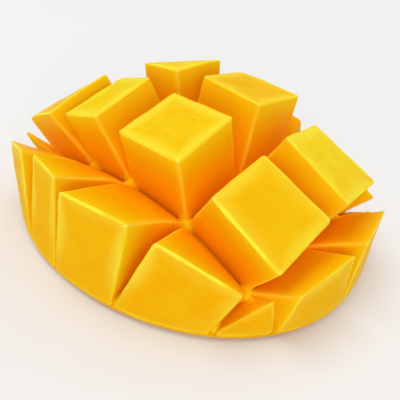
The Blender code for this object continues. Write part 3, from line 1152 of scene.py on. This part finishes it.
# %% [markdown]
# ## Walls
# How orange a wall is depends on the way down it, and this orange is painted shade of the cut: it goes
# mostly by the share of that wall's own height, and a little by the plain distance, so that short walls
# near the rim turn orange as well. The round corners between two walls get a painted highlight. A wall
# is painted lighter again at its foot, as painted light that lifts the shade where it meets the layer.

# %% Colour of a wall
SHARE_DOWN, DOWN_PER_MM = 0.75, 0.0125
SHORTEST_WALL = 0.5
# Stops of painted shade down a wall.
WALL_SHADE_STOPS = ((0.0, WALL_TOP), (0.04, WALL_TOP), (0.14, WALL_YELLOW), (0.37, WALL_ORANGE), (0.72, WALL_DEEP_SHADE))
ROUNDING_FADE = (0.05, 0.35, 1.0, 0.0)
# Fades for the painted highlight down the round corners.
CORNER_HIGHLIGHT_FADE = (0.0, 0.55, 0.85, 0.0)
CORNER_HIGHLIGHT_BAND_FADE = (0.2, 1.8, 0.3, 0.0)
# Fades for painted light at the foot of a wall, away from its corners.
FOOT_FADE, FOOT_OFF_CORNER = (0.5, 4.5, 0.8, 0.0), (0.6, 2.4, 1.0, 0.0)


def way_down(bench, mark):
    """0 at the top of a wall and about 1 at its foot."""
    length = bench.math("ADD", bench.math("ADD", mark["below"], mark["height"]), SHORTEST_WALL)
    share = bench.product(bench.math("DIVIDE", mark["below"], length), SHARE_DOWN)
    return bench.math("ADD", bench.product(mark["below"], DOWN_PER_MM), share)


def wall_colour(bench, mark, down, rounding):
    corner = mark["corner"]
    # The ramp down the wall paints the shade of the cut.
    wall = bench.mix(bench.fade(mark["below"], *ROUNDING_FADE), bench.ramp(down, WALL_SHADE_STOPS), rounding)
    # Painted highlight down the round corners: a thin line and a wider, weaker band.
    wall = bench.mix(bench.fade(corner, *CORNER_HIGHLIGHT_FADE), wall, CORNER_HIGHLIGHT)
    wall = bench.mix(bench.fade(corner, *CORNER_HIGHLIGHT_BAND_FADE), wall, WALL_TOP)
    # Painted light at the foot of a wall, away from its corners, lifting the shade where it meets the layer.
    foot_painted_light = bench.product(bench.fade(mark["height"], *FOOT_FADE), bench.fade(corner, *FOOT_OFF_CORNER))
    return bench.mix(foot_painted_light, wall, WALL_TOP)


print("walls turn through", len(WALL_SHADE_STOPS), "stops")

# %% [markdown]
# ## The flesh material
# The pieces come together here. The very tips of the blocks get a painted glint, the palest colour,
# and pads are yellow. Light scatters under the surface, red the farthest. A path tracer stops before
# the many bounces in a deep cut are over, so a painted glow stands in for them: the flesh low in the
# cuts and the pads give off a little orange light of their own.

# %% Flesh material
FIBRE_STRETCH = (0.35, 3.2, 0.5)
TIP_CORNER, TIP_BELOW, TIP_INWARD = (0.0, 0.6, 1.0, 0.0), (0.0, 0.6, 1.0, 0.0), (0.1, 0.7, 0.6, 0.0)
# Painted glow: orange emission low in the cuts and a lighter one on the pads, standing in for light that
# bounces and scatters in the flesh.
GLOW = (1.0, 0.31, 0.0, 1)
PAD_GLOW = (1.0, 0.60, 0.0, 1)
GLOW_STRENGTH = 0.13
GLOW_DOWN, GLOW_HEIGHT, GLOW_INWARD = (0.08, 0.55), (0.4, 2.5, 0.4, 1.0), (0.0, 0.5, 1.0, 0.0)
MOIST_ROUGHNESS = (0.0, 1.0, 0.36, 0.48)
FLESH_SHADER = {
    "Emission Strength": GLOW_STRENGTH,
    "Specular IOR Level": 0.012,
    "Subsurface Weight": 0.45,
    "Subsurface Radius": (1.0, 0.32, 0.05),
    "Subsurface Scale": 2.5 * MM,
}


def flesh_finish():
    bench = NodeBench("mango_flesh")
    mark = {name: bench.mark(name) for name in MARKS + ("rimward",) if name not in ("along", "across")}
    mark["uncut_place"] = bench.mark("uncut_place", "Vector")
    patches = bench.group(mottling, Vector=mark["uncut_place"], Scale=0.16).outputs["Patches"]
    stretch = bench.put("ShaderNodeMapping", {"Vector": mark["uncut_place"], "Scale": FIBRE_STRETCH})
    grain = {"Vector": stretch.outputs["Vector"], "Scale": 1.0, "Detail": 4.0}
    fibres = bench.put("ShaderNodeTexNoise", grain).outputs["Fac"]
    inside, down = bench.fade(mark["rimward"], *RIM_FADE), way_down(bench, mark)
    face = cut_face(bench, mark, patches, fibres)
    crown, rounding = with_edge(bench, mark, face, inside)
    body = bench.mix(bench.fade(mark["inward"], 0.0, 0.4), wall_colour(bench, mark, down, rounding), crown)
    # The painted glint at the tips of the blocks, on the corner of the top edge.
    tip_glint = bench.product(
        bench.fade(mark["corner"], *TIP_CORNER), bench.fade(mark["below"], *TIP_BELOW),
        bench.fade(mark["inward"], *TIP_INWARD), inside,
    )
    body = bench.mix(mark["stretched"], bench.mix(tip_glint, body, TIP_GLINT), PAD_YELLOW)
    # Where the painted glow shows: low down the walls and off the cut faces.
    deep = bench.product(
        bench.fade(down, *GLOW_DOWN), bench.fade(mark["height"], *GLOW_HEIGHT),
        bench.fade(mark["inward"], *GLOW_INWARD),
    )
    glow = bench.mix(mark["stretched"], bench.mix(deep, (0, 0, 0, 1), GLOW), PAD_GLOW)
    bench.feed(bench.shader.inputs["Base Color"], body)
    bench.feed(bench.shader.inputs["Emission Color"], glow)
    bench.feed(bench.shader.inputs["Roughness"], bench.fade(patches, *MOIST_ROUGHNESS))
    bench.bump(fibres, 0.35, 0.10 * MM)
    for name, value in FLESH_SHADER.items():
        bench.feed(bench.shader.inputs[name], value)
    return bench.material


def shade(mesh, material, crease):
    mesh.materials.clear()
    mesh.materials.append(material)
    mesh.polygons.foreach_set("material_index", [0] * len(mesh.polygons))
    mesh.shade_smooth()
    mesh.set_sharp_from_angle(angle=crease)


shade(flesh.data, flesh_finish(), math.radians(38))
print("flesh material with", len(flesh.data.materials[0].node_tree.nodes), "nodes")

# %% [markdown]
# ## The skin
# Mango skin is smooth and waxy, green gold with a red blush, and dotted with pale pores. The pores
# come from a cell pattern: only the very middle of each cell is kept.

# %% Peel material
SKIN_GREEN = (0.42, 0.45, 0.04, 1)
SKIN_GOLD = (0.80, 0.42, 0.03, 1)
SKIN_BLUSH = (0.62, 0.14, 0.03, 1)
PORE = (0.88, 0.72, 0.28, 1)


def peel_finish():
    bench = NodeBench("mango_skin")
    place = bench.put("ShaderNodeTexCoord").outputs["Object"]
    wide = bench.group(mottling, Vector=place, Scale=28.0, Low=0.40, High=0.62).outputs["Patches"]
    fine = bench.group(mottling, Vector=place, Scale=160.0, Low=0.3, High=0.7).outputs["Patches"]
    colour = bench.mix(wide, SKIN_GOLD, SKIN_BLUSH)
    colour = bench.mix(bench.math("MULTIPLY", fine, 0.35), colour, SKIN_GREEN)
    cells = bench.put("ShaderNodeTexVoronoi", {"Vector": place, "Scale": 520.0, "Randomness": 1.0})
    pores = bench.fade(cells.outputs["Distance"], 0.10, 0.18, 0.8, 0.0)
    bench.feed(bench.shader.inputs["Base Color"], bench.mix(pores, colour, PORE))
    bench.feed(bench.shader.inputs["Roughness"], bench.fade(fine, 0.0, 1.0, 0.30, 0.42))
    bench.bump(pores, 0.3, 0.05 * MM)
    return bench.material


shade(peel.data, peel_finish(), math.radians(50))
print("peel material with", len(peel.data.materials[0].node_tree.nodes), "nodes")

# %% [markdown]
# ## Hand over
# Both pieces stand for the one solid and move with it.

# %% Ride, replace and finish
for piece in (flesh, peel):
    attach(piece, "root")
    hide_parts("mango_cheek")
